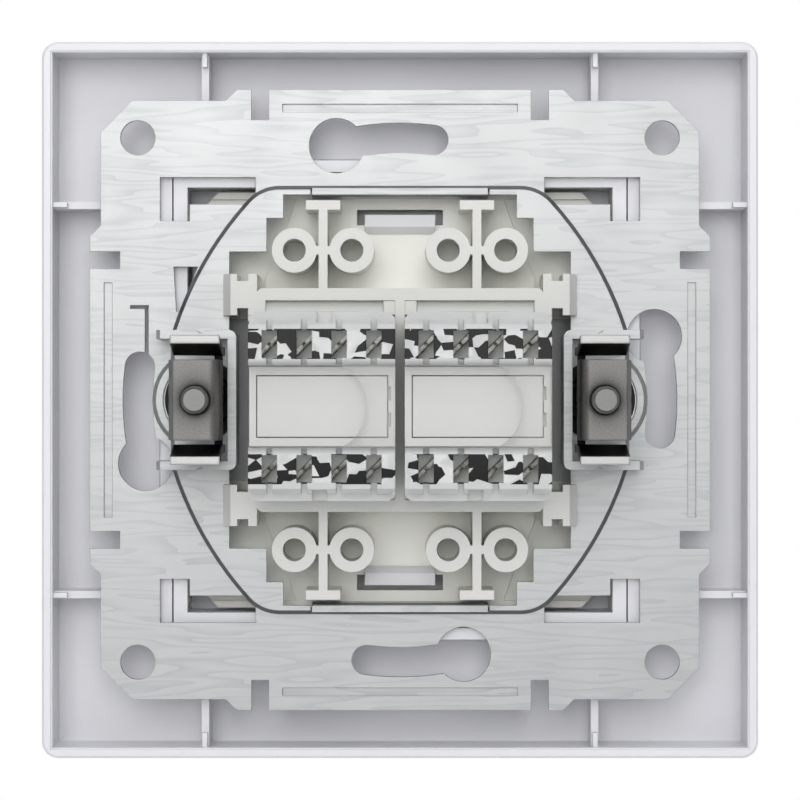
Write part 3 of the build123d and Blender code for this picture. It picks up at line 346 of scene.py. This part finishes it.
BALL_RADIUS = 2.5 * MM
BALL_CENTER_Y = 0.2 * MM
HEAD_STEPS = 14
SHAFT_RADIUS = 1.5 * MM
ROOT_RADIUS = 1.24 * MM
PITCH = 0.5 * MM
THREAD_FROM_Y = 3.0 * MM
TIP_LENGTH = 0.3 * MM
TIP_RADIUS = 1.2 * MM
CORNERS_AROUND = 40
RINGS_PER_TURN = 8

# The thread's section is a wave made steeper and cut off, which gives it flat crests and roots
FLANK_SLOPE = 1.35
FLANK_SHIFT = 0.15


def thread_radius(y, turn_share):
    """Radius of the helical thread at depth y and at a share of a turn round the axis."""
    wave = abs(((y / PITCH - turn_share) % 1.0) * 2 - 1)
    return ROOT_RADIUS + (SHAFT_RADIUS - ROOT_RADIUS) * min(1.0, max(0.0, FLANK_SLOPE * wave - FLANK_SHIFT))


def screw(side):
    """Claw screw with a rolled thread, from its ball-shaped head to its chamfered tip."""
    node = f"claw_screw_{side}"
    low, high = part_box(node)
    axis_x = (low[0] + high[0]) / 2
    face_y, tip_y = low[1], high[1]
    first = math.acos((face_y - BALL_CENTER_Y) / BALL_RADIUS)
    last = math.asin(SHAFT_RADIUS / BALL_RADIUS)
    rings = [(face_y, 0.0)]
    for count in range(HEAD_STEPS + 1):
        angle = first + (last - first) * count / HEAD_STEPS
        rings.append((BALL_CENTER_Y + BALL_RADIUS * math.cos(angle), BALL_RADIUS * math.sin(angle)))
    rings.append((THREAD_FROM_Y, SHAFT_RADIUS))
    thread_rings = int((tip_y - TIP_LENGTH - THREAD_FROM_Y) / PITCH * RINGS_PER_TURN)
    threaded = range(len(rings), len(rings) + thread_rings)
    for count in range(thread_rings):
        rings.append((THREAD_FROM_Y + (count + 1) * PITCH / RINGS_PER_TURN, SHAFT_RADIUS))
    rings += [(tip_y, TIP_RADIUS), (tip_y, 0.0)]
    verts = []
    for index, (y, radius) in enumerate(rings):
        for corner in range(CORNERS_AROUND):
            share = corner / CORNERS_AROUND
            out = thread_radius(y, share) if index in threaded else radius
            angle = 2 * math.pi * share
            verts.append((axis_x + out * math.cos(angle), y, out * math.sin(angle)))
    faces = []
    for ring in range(len(rings) - 1):
        for corner in range(CORNERS_AROUND):
            a = ring * CORNERS_AROUND + corner
            b = ring * CORNERS_AROUND + (corner + 1) % CORNERS_AROUND
            faces.append((a, b, b + CORNERS_AROUND, a + CORNERS_AROUND))
    made = new_piece(f"threaded_screw_{side}", verts, faces, f"screw_{side}", "plated_screw")
    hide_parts(node)


screw("right")
screw("left")


# Latch arms of the jacks, and collars and shoulders of the carrier, beside the clear caps

ARM_HALF_WIDTH = 6.7 * MM
LEDGE_IN_Z = 9.6 * MM
LEDGE_OUT_Z = 11.28 * MM
ARM_DROP_IN = 0.1 * MM
ARM_DROP_OUT = 0.9 * MM
INNER_COLLAR_X = (0.5 * MM, 1.9 * MM)
OUTER_COLLAR_X = (15.2 * MM, 16.3 * MM)
SHOULDER_X = (16.2 * MM, 17.25 * MM)
SHOULDER_Z = (8.9 * MM, 12.4 * MM)
COLLAR_DROP = 0.08 * MM
BLOCK_DEPTH = 3.0 * MM
BLOCK_EDGE = 0.1 * MM


def block(name, x_span, z_span, drops, finish):
    """Block below the carrier's top, with a drop from there for each end of its span of z."""
    left, right = sorted(x_span)
    (bottom, bottom_drop), (top, top_drop) = sorted(zip(z_span, drops))
    bottom_y, top_y = CARRIER_TOP_Y - bottom_drop, CARRIER_TOP_Y - top_drop
    near = [(left, top_y, top), (right, top_y, top), (right, bottom_y, bottom), (left, bottom_y, bottom)]
    far = [(x, CARRIER_TOP_Y - BLOCK_DEPTH, z) for x, _, z in near]
    count = len(near)
    faces = [tuple(range(count)), tuple(range(2 * count - 1, count - 1, -1))]
    for index in range(count):
        after = (index + 1) % count
        faces.append((index, index + count, after + count, after))
    made = new_piece(name, near + far, faces, "base", finish)
    bevel = made.modifiers.new("soft_edges", "BEVEL")
    bevel.width = BLOCK_EDGE
    bevel.segments = 2


def jack_surround(side, sign):
    """Sloped latch arms above and below a jack, and the carrier's walls round the ends of its cap."""
    low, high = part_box(f"idc_cap_{side}")
    middle = (low[0] + high[0]) / 2
    walls = (("collar", "_inner", INNER_COLLAR_X, (LEDGE_IN_Z, LEDGE_OUT_Z)),
             ("collar", "_outer", OUTER_COLLAR_X, (LEDGE_IN_Z, LEDGE_OUT_Z)),
             ("shoulder", "", SHOULDER_X, SHOULDER_Z))
    for end, level in ((1, "upper"), (-1, "lower")):
        block(f"latch_arm_{level}_{side}", (middle - ARM_HALF_WIDTH, middle + ARM_HALF_WIDTH),
              (end * LEDGE_IN_Z, end * LEDGE_OUT_Z), (ARM_DROP_IN, ARM_DROP_OUT), "jack_moulding")
        for kind, spot, x_span, z_span in walls:
            block(f"{kind}_{level}{spot}_{side}", [sign * x for x in x_span], [end * z for z in z_span],
                  (COLLAR_DROP, COLLAR_DROP), "carrier_moulding")


jack_surround("right", 1)
jack_surround("left", -1)


# Stage, in metres

STAGE_HALF_WIDTH = 3.0
STAGE_FRONT_Y = 2.0
BACKDROP_Y = -2.5
BACKDROP_Z = (-1.0, 3.0)
FLOOR_Z = -0.3


def white_ground(name, corners):
    """Large plain sheet that the camera sees as white."""
    mesh = bpy.data.meshes.new(name)
    mesh.from_pydata(corners, [], [(0, 1, 2, 3)])
    sheet = bpy.data.objects.new(name, mesh)
    bpy.context.scene.collection.objects.link(sheet)
    made = bpy.data.materials.new(name)
    made.use_nodes = True
    tree = made.node_tree
    shader = tree.nodes["Principled BSDF"]
    shader.inputs["Base Color"].default_value = (0.8, 0.8, 0.8, 1)
    shader.inputs["Roughness"].default_value = 0.9
    glow = tree.nodes.new("ShaderNodeEmission")
    glow.inputs["Color"].default_value = (1, 1, 1, 1)
    seen = tree.nodes.new("ShaderNodeLightPath").outputs["Is Camera Ray"]
    mix = tree.nodes.new("ShaderNodeMixShader")
    tree.links.new(seen, mix.inputs["Fac"])
    tree.links.new(shader.outputs["BSDF"], mix.inputs[1])
    tree.links.new(glow.outputs["Emission"], mix.inputs[2])
    tree.links.new(mix.outputs["Shader"], tree.nodes["Material Output"].inputs["Surface"])
    mesh.materials.append(made)


ends = ((-STAGE_HALF_WIDTH, 0), (STAGE_HALF_WIDTH, 0), (STAGE_HALF_WIDTH, 1), (-STAGE_HALF_WIDTH, 1))
white_ground("backdrop", [(x, BACKDROP_Y, BACKDROP_Z[end]) for x, end in ends])
white_ground("floor", [(x, (BACKDROP_Y, STAGE_FRONT_Y)[end], FLOOR_Z) for x, end in ends])


# Light

def lamp(name, spot, size, power):
    """Square soft light that faces the object."""
    light = bpy.data.lights.new(name, "AREA")
    light.size = size
    light.energy = power
    lit = bpy.data.objects.new(name, light)
    lit.location = spot
    lit.rotation_euler = (-Vector(spot)).to_track_quat("-Z", "Y").to_euler()
    bpy.context.scene.collection.objects.link(lit)


lamp("key", (-0.20, 0.60, 0.75), size=0.7, power=1.8)
lamp("front", (0.08, 1.10, 0.26), size=0.6, power=5.0)
lamp("far_side", (0.40, -1.00, 0.45), size=0.6, power=3.0)

# The sky grows brighter from below the horizon to high up, and the camera sees it as white
SKY_FROM, SKY_TO = -0.3, 0.8
SKY_DIM, SKY_BRIGHT = 0.22, 0.72

world = bpy.data.worlds.new("studio")
world.use_nodes = True
sky = world.node_tree
heading = sky.nodes.new("ShaderNodeTexCoord")
direction = sky.nodes.new("ShaderNodeSeparateXYZ")
sky.links.new(heading.outputs["Generated"], direction.inputs[0])
graded = spread(sky, direction.outputs["Z"], SKY_FROM, SKY_TO, SKY_DIM, SKY_BRIGHT)
from_camera = sky.nodes.new("ShaderNodeLightPath").outputs["Is Camera Ray"]
sky.links.new(calc(sky, "MAXIMUM", graded, from_camera), sky.nodes["Background"].inputs["Strength"])
sky.nodes["Background"].inputs["Color"].default_value = (0.96, 0.96, 1.0, 1)
bpy.context.scene.world = world
bpy.context.scene.view_settings.view_transform = "Standard"


# Camera, straight behind the socket

CAMERA_Y = 0.4
LENS = 157.3
SENSOR_WIDTH = 36.0

camera_data = bpy.data.cameras.new("camera")
camera_data.sensor_width = SENSOR_WIDTH
camera_data.lens = LENS
camera_data.clip_start = 0.01
camera = bpy.data.objects.new("camera", camera_data)
camera.location = (0, CAMERA_Y, 0)
camera.rotation_euler = (math.radians(90), 0, math.radians(180))
bpy.context.scene.collection.objects.link(camera)
bpy.context.scene.camera = camera
